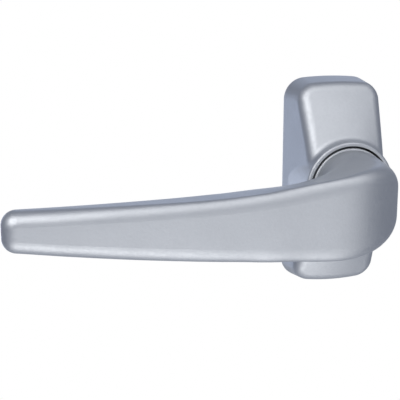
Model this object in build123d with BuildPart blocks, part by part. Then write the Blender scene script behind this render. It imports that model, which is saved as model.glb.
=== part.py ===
from build123d import *
import os
from math import atan, cos, radians, sin, tan

# Sprung door lever on a narrow oblong rose. Millimetres.
# X runs to the right along the door, Y into the door and Z up. The origin is where
# the turning axis meets the door face, so the handle stands on the -Y side and the
# lever points to -X at rest. "Forward" below is the distance in front of the door.

os.makedirs("parts", exist_ok=True)

# Rose cover: drafted oblong cap whose front climbs to a raised round collar
rose_width = 32.0
rose_height = 72.3
rose_drop = 0.85
rose_side_draft = 7.5
rose_end_draft = 6.0
rose_corner_radius = 7.5
rose_end_rise = 1.2
rose_slope = 0.5
rose_foot_depth = 21.3
rose_ridge_radius = 4.5
cover_wall = 2.0
collar_height = 24.0
collar_radius = 15.4
collar_cove_radius = 3.0
collar_rim_round = 0.8
pry_notch_width = 7.0
pry_notch_depth = 1.2

# Base plate: cast tray that carries the bearing, the spring and the screws
plate_clearance = 0.15
plate_depth = 13.0
tray_depth = 10.5
plate_web = 3.0
plate_wall = 2.0
hub_wall = 2.4
pocket_wall = 1.2
screw_spacing = 50.0
screw_boss_radius = 6.5
snap_radius = 0.6
snap_length = 8.0
snap_spacing = 36.0
snap_forward = 4.0
snap_clearance = 0.15

# Fixing screws
screw_radius = 2.5
screw_shank_radius = 2.2
screw_head_radius = 4.6
screw_head_angle = 90.0
screw_reach = 15.0
screw_clearance = 0.15
screw_socket = 3.0
screw_socket_depth = 1.9

# Bearing bush and neck
journal_radius = 8.5
running_clearance = 0.05
bush_wall = 1.05
bush_fit = 0.02
bush_flange_radius = 12.0
bush_flange = 1.2
axial_play = 0.1
neck_radius = 13.4
neck_clearance = 0.7
neck_shoulder = 20.0
neck_step = 0.7
neck_flat = 1.0
neck_edge_round = 0.45

# Lever: neck, bend and grip in one casting
neck_flare_share = 0.3
neck_top_power = 1.6
neck_bottom_power = 1.0
neck_corner_power = 1.6
crest_rise = 5.0
crest_share = 0.24
crest_power = 3.0
lever_sections = 14
neck_front = 24.3
neck_run = 3.0
arm_front = 54.0
arm_thickness_root = 11.5
arm_thickness_tip = 9.4
arm_set_back = 3.0
arm_reach = 115.0
arm_top_root = 7.4
arm_top_middle = 4.6
arm_top_tip = 3.4
arm_bottom_root = -17.4
arm_bottom_middle = -15.0
arm_bottom_tip = -9.1
arm_edge_radius = 4.2
tip_round = 4.4
tip_roundness = 0.95

# Spindle and its grub screw
spindle_width = 8.0
spindle_reach = 24.0
spindle_depth = 36.0
spindle_chamfer = 0.6
spindle_clearance = 0.05
grub_radius = 3.0
grub_length = 7.0
grub_forward = 30.0
grub_socket = 3.0
grub_socket_depth = 3.0
grub_clearance = 0.05

# Return spring, drive plate and retaining ring
spring_wire = 1.3
spring_wire_sides = 8
spring_turns = 3.25
spring_pitch = 1.45
spring_clearance = 0.35
spring_end_gap = 0.2
spring_start_angle = 98.0
leg_bend = 1.5
leg_clearance = 0.25
leg_hole_depth = 2.2
pocket_clearance = 0.4
drive_plate_thickness = 1.5
drive_step = 0.6
drive_flat_inset = 1.1
drive_clearance = 0.05
drive_disc_radius = 9.4
fan_start = 50.0
fan_end = 130.0
fan_clearance = 0.45
lever_travel = 45.0
stop_width = 14.0
stop_gap = 0.5
stop_inner_clearance = 0.4
ring_thickness = 1.0
ring_groove_depth = 0.6
ring_lip = 0.6
ring_band = 1.9
ring_opening = 70.0
ring_clearance = 0.05
journal_end = 0.4


def door_plane(forward):
    """Plane parallel to the door, facing the user, this far in front of it."""
    return Plane.XZ.offset(forward)


def rose_outline(inset, forward):
    """Front view of the rose, inset from the outer skin, at a depth of its draft."""
    x = rose_width / 2 - inset - forward * tan(radians(rose_side_draft))
    reach = rose_height / 2 - inset - forward * tan(radians(rose_end_draft))
    high = reach - rose_drop
    low = -reach - rose_drop
    corner = rose_corner_radius - inset - forward * tan(radians(rose_end_draft))
    with BuildSketch(door_plane(forward)) as outline:
        with BuildLine():
            top = ThreePointArc((-x, high - rose_end_rise), (0, high), (x, high - rose_end_rise))
            bottom = ThreePointArc((x, low + rose_end_rise), (0, low), (-x, low + rose_end_rise))
            Line(top @ 1, bottom @ 0)
            Line(bottom @ 1, top @ 0)
        make_face()
        fillet(outline.vertices(), corner)
    return outline.sketch


def rose_body(inset, depth):
    """Drafted block under the rose's sloping front at this inset, from the door forward."""
    peak = rose_foot_depth + rose_slope * collar_radius - inset / cos(atan(rose_slope))
    with BuildPart(mode=Mode.PRIVATE) as body:
        loft([rose_outline(inset, 0), rose_outline(inset, depth)], ruled=True)
        with Locations(Plane.XZ):
            Cone(
                peak / rose_slope,
                0,
                peak,
                align=(Align.CENTER, Align.CENTER, Align.MIN),
                mode=Mode.INTERSECT,
            )
    return body.part


# Derived sizes that several pieces share
collar_bore_radius = neck_radius + neck_clearance
plate_inset = cover_wall + plate_clearance
bush_bore_radius = journal_radius + running_clearance
bush_radius = bush_bore_radius + bush_wall
hub_bore_radius = bush_radius + bush_fit
bush_flange_front = neck_shoulder - axial_play
hub_front = bush_flange_front - bush_flange
spring_radius = bush_radius + spring_clearance + spring_wire / 2
pocket_radius = spring_radius + spring_wire / 2 + pocket_clearance
web_back = plate_depth - plate_web
ring_back = journal_end + ring_lip
ring_front = ring_back + ring_thickness
drive_front = ring_front + drive_plate_thickness
bush_back = drive_front + axial_play
tail_radius = journal_radius - drive_step
tail_flat = tail_radius - drive_flat_inset
ring_seat_radius = tail_radius - ring_groove_depth
fan_radius = pocket_radius - fan_clearance
spring_start = drive_front + spring_end_gap + spring_wire / 2
spring_end = spring_start + spring_turns * spring_pitch
stop_angles = [fan_start - stop_gap - stop_width, fan_end + lever_travel + stop_gap]
grub_plane = Plane((0, -grub_forward, -spindle_width / 2), x_dir=(1, 0, 0), z_dir=(0, 0, -1))
snap_x = rose_width / 2 - plate_inset - snap_forward * tan(radians(rose_side_draft))
snap_places = [
    (side * snap_x, -snap_forward, end * snap_spacing / 2)
    for side in (-1, 1)
    for end in (-1, 1)
]
screw_places = [(0, screw_spacing / 2), (0, -screw_spacing / 2)]

# Return spring: wound round the bush. Each end is bent along the axis, one into the web
# of the base plate and one into the drive plate's notch.
spring_x = Vector(cos(radians(spring_start_angle)), 0, sin(radians(spring_start_angle)))
spring_plane = Plane((0, -spring_start, 0), x_dir=spring_x, z_dir=(0, -1, 0))
coil = spring_plane * Edge.make_helix(spring_pitch, spring_turns * spring_pitch, spring_radius)
to_door = Vector(0, leg_bend, 0)
with BuildLine() as spring_path:
    add(coil)
    back_bend = TangentArc(coil @ 0, coil @ 0 - coil % 0 * leg_bend + to_door, tangent=coil % 0 * -1)
    front_bend = TangentArc(coil @ 1, coil @ 1 + coil % 1 * leg_bend - to_door, tangent=coil % 1)
    back_leg = Line(back_bend @ 1, ((back_bend @ 1).X, -ring_front, (back_bend @ 1).Z))
    front_leg = Line(
        front_bend @ 1,
        ((front_bend @ 1).X, leg_clearance - web_back - leg_hole_depth, (front_bend @ 1).Z),
    )
with BuildPart() as return_spring:
    with BuildSketch(Plane(back_leg @ 1, z_dir=back_leg % 1)):
        RegularPolygon(spring_wire / 2, spring_wire_sides)
    sweep(path=spring_path.wires()[0])

# Rose cover: die-cast shell, snapped over the base plate. Its front is a shallow cone
# round the axis. The collar grows out of it, and a cove runs all round its foot.
with BuildPart() as rose_cover:
    add(rose_body(0, collar_height - collar_rim_round))
    rose_front = rose_cover.faces().sort_by(Axis.Y)[1]
    fillet(rose_front.edges().filter_by(lambda e: e.center().Y > -rose_foot_depth), rose_ridge_radius)
    with Locations(Plane.XZ):
        Cylinder(collar_radius, collar_height, align=(Align.CENTER, Align.CENTER, Align.MIN))
    collar_side = rose_cover.faces().filter_by(GeomType.CYLINDER).sort_by(Axis.Y)[0]
    collar_foot = collar_side.edges().filter_by(GeomType.LINE, reverse=True)
    fillet(collar_foot.sort_by(Axis.Y)[1:], collar_cove_radius)
    fillet(rose_cover.faces().sort_by(Axis.Y)[0].edges(), collar_rim_round)
    add(rose_body(cover_wall, rose_foot_depth - cover_wall), mode=Mode.SUBTRACT)
    with BuildSketch(door_plane(collar_height)):
        Circle(collar_bore_radius)
    extrude(amount=-(collar_height - plate_depth), mode=Mode.SUBTRACT)
    with Locations(*snap_places):
        Cylinder(snap_radius + snap_clearance, snap_length + 2 * snap_clearance, mode=Mode.SUBTRACT)
    with Locations((0, 0, -rose_height / 2 - rose_drop)):
        Box(pry_notch_width, 2 * pry_notch_depth, 2 * cover_wall, mode=Mode.SUBTRACT)

# Base plate: cast tray, open to the door, with a tube for the bush, a pocket for the
# spring, two stops for the drive plate and a pillar for each screw.
with BuildPart() as base_plate:
    with BuildPart(mode=Mode.PRIVATE) as bosses:
        with BuildSketch(Plane.XZ):
            with Locations(*screw_places):
                Circle(screw_boss_radius)
        extrude(amount=tray_depth)
        with BuildSketch(Plane.XZ):
            Circle(pocket_radius + pocket_wall)
        extrude(amount=plate_depth)
        add(rose_body(plate_inset, plate_depth), mode=Mode.INTERSECT)
    add(rose_body(plate_inset, plate_depth))
    split(bisect_by=door_plane(tray_depth), keep=Keep.BOTTOM)
    add(rose_body(plate_inset + plate_wall, tray_depth - plate_web), mode=Mode.SUBTRACT)
    add(bosses.part)
    with BuildSketch(door_plane(plate_depth)):
        Circle(hub_bore_radius + hub_wall)
    extrude(amount=hub_front - plate_depth)
    with BuildSketch(Plane.XZ):
        Circle(pocket_radius)
    extrude(amount=web_back, mode=Mode.SUBTRACT)
    with BuildSketch(Plane.XZ):
        Circle(hub_bore_radius)
    extrude(amount=hub_front, mode=Mode.SUBTRACT)
    for stop_angle in stop_angles:
        with BuildSketch(door_plane(journal_end)):
            with BuildLine():
                stop_back = CenterArc((0, 0), pocket_radius + pocket_wall / 2, stop_angle, stop_width)
                stop_face = CenterArc((0, 0), drive_disc_radius + stop_inner_clearance, stop_angle, stop_width)
                Line(stop_back @ 0, stop_face @ 0)
                Line(stop_back @ 1, stop_face @ 1)
            make_face()
        extrude(amount=drive_front - journal_end)
    with BuildSketch(door_plane(web_back)):
        with Locations(((front_leg @ 1).X, (front_leg @ 1).Z)):
            Circle(spring_wire / 2 + leg_clearance)
    extrude(amount=leg_hole_depth, mode=Mode.SUBTRACT)
    with Locations(door_plane(tray_depth)):
        with Locations(*screw_places):
            CounterSinkHole(
                screw_radius + screw_clearance,
                screw_head_radius + screw_clearance,
                counter_sink_angle=screw_head_angle,
            )
    with Locations(*snap_places):
        Cylinder(snap_radius, snap_length)

# Fixing screws: two countersunk machine screws through the base plate into the door,
# with a plain shank in the plate that is thinner than the thread behind it
with BuildPart() as fixing_screws:
    with BuildSketch(door_plane(-screw_reach)):
        with Locations(*screw_places):
            Circle(screw_radius)
    extrude(amount=screw_reach)
    with BuildSketch(Plane.XZ):
        with Locations(*screw_places):
            Circle(screw_shank_radius)
    extrude(amount=tray_depth - screw_clearance)
    with BuildSketch(door_plane(tray_depth - screw_clearance)):
        with Locations(*screw_places):
            Circle(screw_head_radius)
    extrude(amount=screw_shank_radius - screw_head_radius, taper=screw_head_angle / 2)
    with BuildSketch(door_plane(tray_depth - screw_clearance)):
        with Locations(*screw_places):
            RegularPolygon(screw_socket / 2, 6, major_radius=False)
    extrude(amount=-screw_socket_depth, mode=Mode.SUBTRACT)

# Lever: one casting. Its plan view is two paths, the inside and the outside of the
# bend. Rounded sections span them from the round neck to the tip, which is domed.
neck_front_radius = neck_radius - neck_step
bend_start = neck_front + neck_run
tip_start = arm_reach - tip_round
tip_front = arm_front - arm_set_back


def plan_path(x, radius, tip):
    """Plan view of one side of the lever: straight out of the neck, bend, long arc."""
    with BuildLine() as path:
        run = Line((x, -neck_front), (x, -bend_start))
        bend = JernArc(run @ 1, run % 1, radius, -90)
        TangentArc(bend @ 1, tip, tangent=bend % 1)
    return path.wires()[0]


def flare(share, power):
    """How much of the round neck is left at this share of the way to the tip."""
    return max(0, 1 - share / neck_flare_share) ** power


def edge_height(neck, power, root, middle, tip, share):
    """Height of the lever's top or bottom edge: parabola of the arm, blended from the neck."""
    arm = (
        root * (1 - share) * (1 - 2 * share)
        + middle * 4 * share * (1 - share)
        + tip * share * (2 * share - 1)
    )
    left = flare(share, power)
    return arm * (1 - left) + neck * left


def crest(share):
    """How far the top edge outside the bend stands above the one inside it."""
    swell = share / crest_share * ((1 - share) / (1 - crest_share)) ** (1 / crest_share - 1)
    return crest_rise * swell**crest_power


def lever_section(inside, outside, bottom, top, crest_top, corner):
    """Rounded upright section between two points of the plan view."""
    across = outside - inside
    half = across.length / 2
    middle = (inside + outside) / 2
    with BuildSketch(Plane(middle, x_dir=across, z_dir=across.cross(Vector(0, 0, 1)))) as section:
        with BuildLine():
            Polyline((-half, bottom), (half, bottom), (half, crest_top), (-half, top), close=True)
        make_face()
        fillet(section.vertices(), corner)
    return section.sketch


plan_outside = plan_path(neck_front_radius, arm_front - bend_start, (-tip_start, -tip_front))
plan_inside = plan_path(
    -neck_front_radius,
    arm_front - arm_thickness_root - bend_start,
    (-tip_start, arm_thickness_tip - tip_front),
)
neck_corner = neck_front_radius - neck_flat / 2
grip_sections = []
for station in range(lever_sections + 1):
    share = station / lever_sections
    bottom = edge_height(
        -neck_front_radius,
        neck_bottom_power,
        arm_bottom_root,
        arm_bottom_middle,
        arm_bottom_tip,
        share,
    )
    top = edge_height(
        neck_front_radius,
        neck_top_power,
        arm_top_root,
        arm_top_middle,
        arm_top_tip,
        share,
    )
    corner = arm_edge_radius + (neck_corner - arm_edge_radius) * flare(share, neck_corner_power)
    grip_sections.append(
        lever_section(
            plan_inside @ share,
            plan_outside @ share,
            bottom,
            top,
            top + crest(share),
            corner,
        )
    )

tip_across = (plan_outside @ 1 - plan_inside @ 1).normalized()
tip_sections = []
for turn in (0, 22.5, 45, 67.5, 85):
    inset = tip_round * (1 - cos(radians(turn)))
    out = Vector(-tip_round * sin(radians(turn)), 0, 0)
    tip_sections.append(
        lever_section(
            plan_inside @ 1 + tip_across * inset + out,
            plan_outside @ 1 - tip_across * inset + out,
            arm_bottom_tip + inset,
            arm_top_tip - inset,
            arm_top_tip - inset,
            min(arm_edge_radius, (arm_thickness_tip / 2 - inset) * tip_roundness),
        )
    )

with BuildPart() as lever:
    loft(grip_sections)
    loft(tip_sections)
    with BuildSketch(door_plane(neck_shoulder)):
        Circle(neck_radius)
    extrude(amount=neck_front - neck_shoulder)
    neck_rims = lever.edges().filter_by(GeomType.CIRCLE).filter_by(lambda e: e.radius > neck_front_radius)
    fillet(neck_rims.sort_by(Axis.Y)[0], neck_edge_round)
    with BuildSketch(door_plane(drive_front)):
        Circle(journal_radius)
    extrude(amount=neck_shoulder - drive_front)
    with BuildSketch(door_plane(journal_end)):
        Circle(tail_radius)
        Rectangle(2 * tail_flat, 2 * tail_radius, mode=Mode.INTERSECT)
    extrude(amount=drive_front - journal_end)
    with BuildSketch(door_plane(ring_back - ring_clearance)):
        Circle(journal_radius)
        Circle(ring_seat_radius, mode=Mode.SUBTRACT)
    extrude(amount=ring_thickness + ring_clearance, mode=Mode.SUBTRACT)
    with BuildSketch(door_plane(journal_end)):
        Rectangle(spindle_width + 2 * spindle_clearance, spindle_width + 2 * spindle_clearance)
    extrude(amount=spindle_depth + spindle_clearance - journal_end, mode=Mode.SUBTRACT)
    with BuildSketch(grub_plane):
        Circle(grub_radius + grub_clearance)
    extrude(amount=neck_radius, mode=Mode.SUBTRACT)

# Spindle: square steel bar through the lock, pushed into the lever's neck
with BuildPart() as spindle:
    with BuildSketch(door_plane(-spindle_reach)):
        Rectangle(spindle_width, spindle_width)
    extrude(amount=spindle_reach + spindle_depth)
    chamfer(spindle.faces().sort_by(Axis.Y)[-1].edges(), spindle_chamfer)

# Grub screw: holds the lever on the spindle, from under the neck
with BuildPart() as grub_screw:
    with BuildSketch(grub_plane):
        Circle(grub_radius)
    extrude(amount=grub_length)
    with BuildSketch(grub_plane.offset(grub_length)):
        RegularPolygon(grub_socket / 2, 6, major_radius=False)
    extrude(amount=-grub_socket_depth, mode=Mode.SUBTRACT)

# Bearing bush: flanged plastic sleeve in the base plate
with BuildPart() as bearing_bush:
    with BuildSketch(door_plane(bush_back)):
        Circle(bush_radius)
    extrude(amount=hub_front - bush_back)
    with BuildSketch(door_plane(hub_front)):
        Circle(bush_flange_radius)
    extrude(amount=bush_flange)
    with BuildSketch(door_plane(bush_back)):
        Circle(bush_bore_radius)
    extrude(amount=bush_flange_front - bush_back, mode=Mode.SUBTRACT)

# Drive plate: keyed on the flats of the journal's tail. Its fan runs between the two
# stops of the base plate, and a notch in the fan takes the spring's moving leg.
with BuildPart() as drive_plate:
    with BuildSketch(door_plane(ring_front)):
        Circle(drive_disc_radius)
        with BuildLine():
            rim = CenterArc((0, 0), fan_radius, fan_start, fan_end - fan_start)
            Line((0, 0), rim @ 0)
            Line(rim @ 1, (0, 0))
        make_face()
        with Locations(((back_leg @ 1).X, (back_leg @ 1).Z)):
            Circle(spring_wire / 2 + leg_clearance, mode=Mode.SUBTRACT)
    extrude(amount=drive_plate_thickness)
    with BuildSketch(door_plane(ring_front)):
        Circle(tail_radius + drive_clearance)
        Rectangle(2 * (tail_flat + drive_clearance), 2 * journal_radius, mode=Mode.INTERSECT)
    extrude(amount=drive_plate_thickness, mode=Mode.SUBTRACT)

# Retaining ring: open ring in the groove of the tail
with BuildPart() as retaining_ring:
    with BuildSketch(door_plane(ring_back)):
        with BuildLine():
            ring_rim = CenterArc((0, 0), ring_seat_radius + ring_band, ring_opening / 2, 360 - ring_opening)
            ring_seat = CenterArc((0, 0), ring_seat_radius + ring_clearance, ring_opening / 2, 360 - ring_opening)
            Line(ring_rim @ 0, ring_seat @ 0)
            Line(ring_rim @ 1, ring_seat @ 1)
        make_face()
    extrude(amount=ring_thickness)

pieces = {
    "rose_cover": rose_cover,
    "base_plate": base_plate,
    "bearing_bush": bearing_bush,
    "fixing_screws": fixing_screws,
    "return_spring": return_spring,
    "lever": lever,
    "spindle": spindle,
    "grub_screw": grub_screw,
    "drive_plate": drive_plate,
    "retaining_ring": retaining_ring,
}
for name, piece in pieces.items():
    piece.part.label = name
    export_step(piece.part, "parts/" + name + ".step")
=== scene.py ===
import math

import bpy
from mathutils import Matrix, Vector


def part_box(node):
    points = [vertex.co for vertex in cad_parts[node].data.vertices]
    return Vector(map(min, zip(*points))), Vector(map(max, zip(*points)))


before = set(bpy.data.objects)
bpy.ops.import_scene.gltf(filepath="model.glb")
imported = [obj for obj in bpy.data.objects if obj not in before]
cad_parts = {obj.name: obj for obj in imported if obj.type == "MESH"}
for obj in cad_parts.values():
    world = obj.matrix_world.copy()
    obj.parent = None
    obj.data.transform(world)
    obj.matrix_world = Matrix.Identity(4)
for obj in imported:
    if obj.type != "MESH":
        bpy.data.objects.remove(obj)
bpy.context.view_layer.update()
bpy.ops.object.select_all(action="DESELECT")


# Rose cover: the long cover on the door that stands round the lever's neck. A zinc die
# casting with a satin plate, pushed over the base plate and held by its snaps.
def paint(hex_colour):
    """An sRGB hex colour as the linear values that a shader takes."""
    shares = [int(hex_colour[i:i + 2], 16) / 255 for i in (1, 3, 5)]
    return [s / 12.92 if s <= 0.04045 else ((s + 0.055) / 1.055) ** 2.4 for s in shares] + [1.0]


def fill_inputs(tree, node, inputs):
    """Fills a node's inputs. Each is given a value, or the socket of another node."""
    for name, value in inputs.items():
        if isinstance(value, bpy.types.NodeSocket):
            tree.links.new(value, node.inputs[name])
        else:
            node.inputs[name].default_value = value


def add_node(tree, kind, inputs, **settings):
    """A new node with its settings and its inputs."""
    node = tree.nodes.new(kind)
    for name, value in settings.items():
        setattr(node, name, value)
    fill_inputs(tree, node, inputs)
    return node


def new_finish(name):
    """A material with its own Principled shader, and the piece's Object coordinates."""
    finish = bpy.data.materials.new(name)
    finish.use_nodes = True
    tree = finish.node_tree
    place = add_node(tree, "ShaderNodeTexCoord", {}).outputs["Object"]
    return finish, tree, tree.nodes["Principled BSDF"], place


def finish_node(node, finish):
    """Puts a finish on a CAD piece in place of its plain colour."""
    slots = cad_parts[node].data.materials
    slots.clear()
    slots.append(finish)


# Satin chrome on a bead-blasted casting: a metal whose reflections are broken up by
# blast pits, so it shows a soft grey sheen with a faint mottle. The pits are about
# 0.1 mm across and are drawn 0.8 mm across, or the picture would not show them.
pit_width, cloud_width = 0.0008, 0.012
satin_plate, tree, shader, place = new_finish("satin_chrome_on_blasted_zinc")
pits = add_node(
    tree, "ShaderNodeTexNoise", {"Vector": place, "Scale": 1 / pit_width, "Detail": 3.0}
)
clouds = add_node(
    tree, "ShaderNodeTexNoise", {"Vector": place, "Scale": 1 / cloud_width, "Detail": 2.0}
)
tone = add_node(
    tree, "ShaderNodeMix",
    {"Factor": clouds.outputs["Fac"], "A": paint("#CBCDCF"), "B": paint("#D3D5D7")},
    data_type="RGBA",
)
dull = add_node(
    tree, "ShaderNodeMapRange",
    {
        "Value": pits.outputs["Fac"], "From Min": 0.3, "From Max": 0.7,
        "To Min": 0.46, "To Max": 0.56,
    },
)
pitting = add_node(
    tree, "ShaderNodeBump", {"Height": pits.outputs["Fac"], "Strength": 0.45, "Distance": 0.00008}
)
fill_inputs(tree, shader, {
    "Base Color": tone.outputs["Result"],
    "Roughness": dull.outputs["Result"],
    "Normal": pitting.outputs["Normal"],
    "Metallic": 1.0,
})
finish_node("rose_cover", satin_plate)

# Base plate: the tray under the cover that carries everything and lies on the door.
# A zinc die casting, left raw, so it is duller and darker than the plated pieces, with
# the cloudy marks of the metal's flow and a fine grain.
flow_width, grain_width = 0.006, 0.0006
raw_zinc, tree, shader, place = new_finish("raw_zinc_die_casting")
flow = add_node(
    tree, "ShaderNodeTexNoise", {"Vector": place, "Scale": 1 / flow_width, "Detail": 4.0}
)
grain = add_node(
    tree, "ShaderNodeTexNoise", {"Vector": place, "Scale": 1 / grain_width, "Detail": 3.0}
)
tone = add_node(
    tree, "ShaderNodeMix",
    {"Factor": flow.outputs["Fac"], "A": paint("#85888C"), "B": paint("#A3A6A9")},
    data_type="RGBA",
)
dull = add_node(
    tree, "ShaderNodeMapRange", {"Value": flow.outputs["Fac"], "To Min": 0.42, "To Max": 0.6}
)
skin = add_node(
    tree, "ShaderNodeBump", {"Height": grain.outputs["Fac"], "Strength": 0.3, "Distance": 0.00008}
)
fill_inputs(tree, shader, {
    "Base Color": tone.outputs["Result"],
    "Roughness": dull.outputs["Result"],
    "Normal": skin.outputs["Normal"],
    "Metallic": 1.0,
})
finish_node("base_plate", raw_zinc)

# Bearing bush: the flanged plastic sleeve that the lever's journal turns in, pushed
# into the base plate. Moulded acetal, black, so the gap round the neck stays dark, with
# the slight unevenness of the mould.
mould_width = 0.0008
black_acetal, tree, shader, place = new_finish("moulded_black_acetal")
mould = add_node(
    tree, "ShaderNodeTexNoise", {"Vector": place, "Scale": 1 / mould_width, "Detail": 2.0}
)
dull = add_node(
    tree, "ShaderNodeMapRange", {"Value": mould.outputs["Fac"], "To Min": 0.36, "To Max": 0.5}
)
skin = add_node(
    tree, "ShaderNodeBump", {"Height": mould.outputs["Fac"], "Strength": 0.1, "Distance": 0.00004}
)
fill_inputs(tree, shader, {
    "Base Color": paint("#1B1C1E"),
    "Roughness": dull.outputs["Result"],
    "Normal": skin.outputs["Normal"],
    "IOR": 1.48,
})
finish_node("bearing_bush", black_acetal)

# Fixing screws: two countersunk machine screws that hold the base plate on the door.
# Bright zinc-plated steel, with the faint bluish cast of its passivation, which comes
# out in soft patches.
patch_width = 0.003
zinc_plate, tree, shader, place = new_finish("blue_passivated_zinc_plated_steel")
patches = add_node(
    tree, "ShaderNodeTexNoise", {"Vector": place, "Scale": 1 / patch_width, "Detail": 3.0}
)
tone = add_node(
    tree, "ShaderNodeMix",
    {"Factor": patches.outputs["Fac"], "A": paint("#A9B0B8"), "B": paint("#C2C7CC")},
    data_type="RGBA",
)
dull = add_node(
    tree, "ShaderNodeMapRange", {"Value": patches.outputs["Fac"], "To Min": 0.24, "To Max": 0.4}
)
fill_inputs(tree, shader, {
    "Base Color": tone.outputs["Result"],
    "Roughness": dull.outputs["Result"],
    "Metallic": 1.0,
})
finish_node("fixing_screws", zinc_plate)

# Return spring: the coil round the bush, in the base plate's pocket, that lifts the lever
# back to level. Drawn spring wire with a thin, uneven film of oil, a dark polished grey.
oil_width = 0.002
spring_wire, tree, shader, place = new_finish("oiled_spring_wire")
oil = add_node(
    tree, "ShaderNodeTexNoise", {"Vector": place, "Scale": 1 / oil_width, "Detail": 2.0}
)
tone = add_node(
    tree, "ShaderNodeMix",
    {"Factor": oil.outputs["Fac"], "A": paint("#5E6166"), "B": paint("#7C8085")},
    data_type="RGBA",
)
dull = add_node(
    tree, "ShaderNodeMapRange", {"Value": oil.outputs["Fac"], "To Min": 0.2, "To Max": 0.34}
)
fill_inputs(tree, shader, {
    "Base Color": tone.outputs["Result"],
    "Roughness": dull.outputs["Result"],
    "Metallic": 1.0,
})
finish_node("return_spring", spring_wire)

# Lever: one casting from the round neck through the bend to the flat grip, with the
# same satin plate as the cover. Its journal turns in the bush.
finish_node("lever", satin_plate)

# Spindle: the square bar through the door that works the lock. Drawn steel with the
# same zinc plate as the screws.
finish_node("spindle", zinc_plate)

# Grub screw: holds the lever on the spindle from under the neck. Hardened steel with
# a black oxide, nearly matt and a little uneven.
oxide_width = 0.001
black_oxide, tree, shader, place = new_finish("black_oxide_steel")
oxide = add_node(
    tree, "ShaderNodeTexNoise", {"Vector": place, "Scale": 1 / oxide_width, "Detail": 2.0}
)
dull = add_node(
    tree, "ShaderNodeMapRange", {"Value": oxide.outputs["Fac"], "To Min": 0.4, "To Max": 0.55}
)
fill_inputs(tree, shader, {
    "Base Color": paint("#2A2B2D"),
    "Roughness": dull.outputs["Result"],
    "Metallic": 1.0,
})
finish_node("grub_screw", black_oxide)

# Drive plate: takes the spring's leg and meets the two stops as the lever turns. Blanked
# from strip steel and zinc plated like the screws.
finish_node("drive_plate", zinc_plate)

# Retaining ring: the open ring in the journal's groove that keeps the lever in the
# rose. Spring steel, black like the grub screw.
finish_node("retaining_ring", black_oxide)

# Backdrop and floor: a white card behind the door lever, and a pale studio floor as far
# below it as a lever stands above a real floor, so its shadow falls out of the picture.
floor_height = -1.05
floor_size = 60.0
bpy.ops.mesh.primitive_plane_add(size=floor_size, location=(0, 0, floor_height))
floor = bpy.context.object
floor.name = "studio_floor"
pale_floor, tree, shader, place = new_finish("pale_studio_floor")
fill_inputs(tree, shader, {"Base Color": paint("#F8F8F8"), "Roughness": 0.85})
floor.data.materials.append(pale_floor)

# The card is matt for the light that falls on it. The camera, and the metal, see it as
# plain white.
card_left, card_right = -0.60, 1.30
card_top = 0.25
card_back = 1.75
bpy.ops.mesh.primitive_plane_add(size=1.0, rotation=(math.radians(90), 0, 0))
card = bpy.context.object
card.name = "white_card"
card.scale = (card_right - card_left, card_top - floor_height, 1.0)
card.location = ((card_left + card_right) / 2, card_back, (card_top + floor_height) / 2)
bpy.ops.object.transform_apply(location=True, rotation=True, scale=True)
white_card, tree, shader, place = new_finish("white_background_card")
fill_inputs(tree, shader, {"Base Color": paint("#F4F4F4"), "Roughness": 0.9})
rays = add_node(tree, "ShaderNodeLightPath", {})
seen = add_node(
    tree, "ShaderNodeMath",
    {0: rays.outputs["Is Camera Ray"], 1: rays.outputs["Is Glossy Ray"]}, operation="MAXIMUM",
)
shown = add_node(
    tree, "ShaderNodeMath",
    {0: seen.outputs["Value"], 1: rays.outputs["Is Transmission Ray"]}, operation="MAXIMUM",
)
plain_white = add_node(tree, "ShaderNodeEmission", {"Color": paint("#FFFFFF"), "Strength": 1.0})
switch = add_node(
    tree, "ShaderNodeMixShader",
    {
        "Fac": shown.outputs["Value"],
        1: shader.outputs["BSDF"],
        2: plain_white.outputs["Emission"],
    },
)
fill_inputs(tree, tree.nodes["Material Output"], {"Surface": switch.outputs["Shader"]})
card.data.materials.append(white_card)

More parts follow.
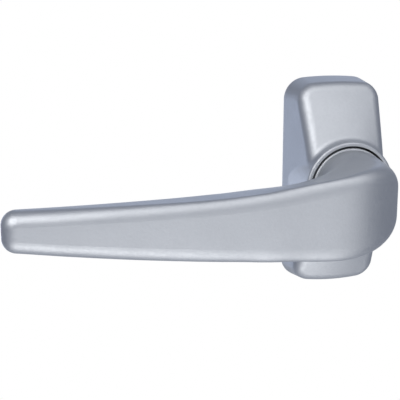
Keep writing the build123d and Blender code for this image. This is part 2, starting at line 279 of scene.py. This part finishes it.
# Light: soft boxes above, at the front left, behind the camera and low in front, and two
# cool ones behind the lever that edge it. The right is left dark, the room a dim cool grey.
lever_middle = (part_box("lever")[0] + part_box("lever")[1]) / 2
white_light, cool_light = "#FFFFFF", "#D4E2FF"


def soft_box(name, place, width, height, brightness, colour):
    """A rectangular lamp that faces the lever and looks this bright in a mirror."""
    lamp = bpy.data.lights.new(name, "AREA")
    lamp.shape = "RECTANGLE"
    lamp.size = width
    lamp.size_y = height
    lamp.energy = brightness * math.pi * width * height
    lamp.color = paint(colour)[:3]
    box = bpy.data.objects.new(name, lamp)
    bpy.context.scene.collection.objects.link(box)
    box.location = place
    box.rotation_euler = (lever_middle - box.location).to_track_quat("-Z", "Y").to_euler()
    box.visible_camera = False


soft_box("overhead_box", (0.10, -0.55, 0.75), 1.6, 1.0, 0.87, white_light)
soft_box("left_box", (-0.32, -0.26, 0.26), 0.32, 0.32, 2.3, white_light)
soft_box("front_box", (0.45, -1.20, -0.25), 1.1, 0.8, 0.66, white_light)
soft_box("low_box", (-0.15, -0.50, -0.55), 0.8, 0.6, 1.5, white_light)
soft_box("back_left_box", (-0.54, 1.13, -0.25), 0.4, 0.8, 1.6, cool_light)
soft_box("back_box", (0.25, 1.10, 0.45), 0.9, 0.5, 0.80, cool_light)

room = bpy.data.worlds.new("dim_cool_studio")
bpy.context.scene.world = room
room.use_nodes = True
fill_inputs(
    room.node_tree, room.node_tree.nodes["Background"],
    {"Color": paint("#DCE6FF"), "Strength": 0.30},
)

# Camera: in front of the door, left of the rose and a little above it. It looks down and
# to the right by the degrees given here, and was fitted to the photograph.
look_down, look_right = 12.4813, 13.3102
camera_data = bpy.data.cameras.new("photo_camera")
camera_data.lens = 84.6
camera_data.sensor_width = 36.0
camera_data.clip_start = 0.01
camera = bpy.data.objects.new("photo_camera", camera_data)
bpy.context.scene.collection.objects.link(camera)
camera.location = (-0.119466, -0.310898, 0.063812)
camera.rotation_euler = (math.radians(90 - look_down), 0.0, math.radians(-look_right))
bpy.context.scene.camera = camera
bpy.context.scene.view_settings.view_transform = "Standard"
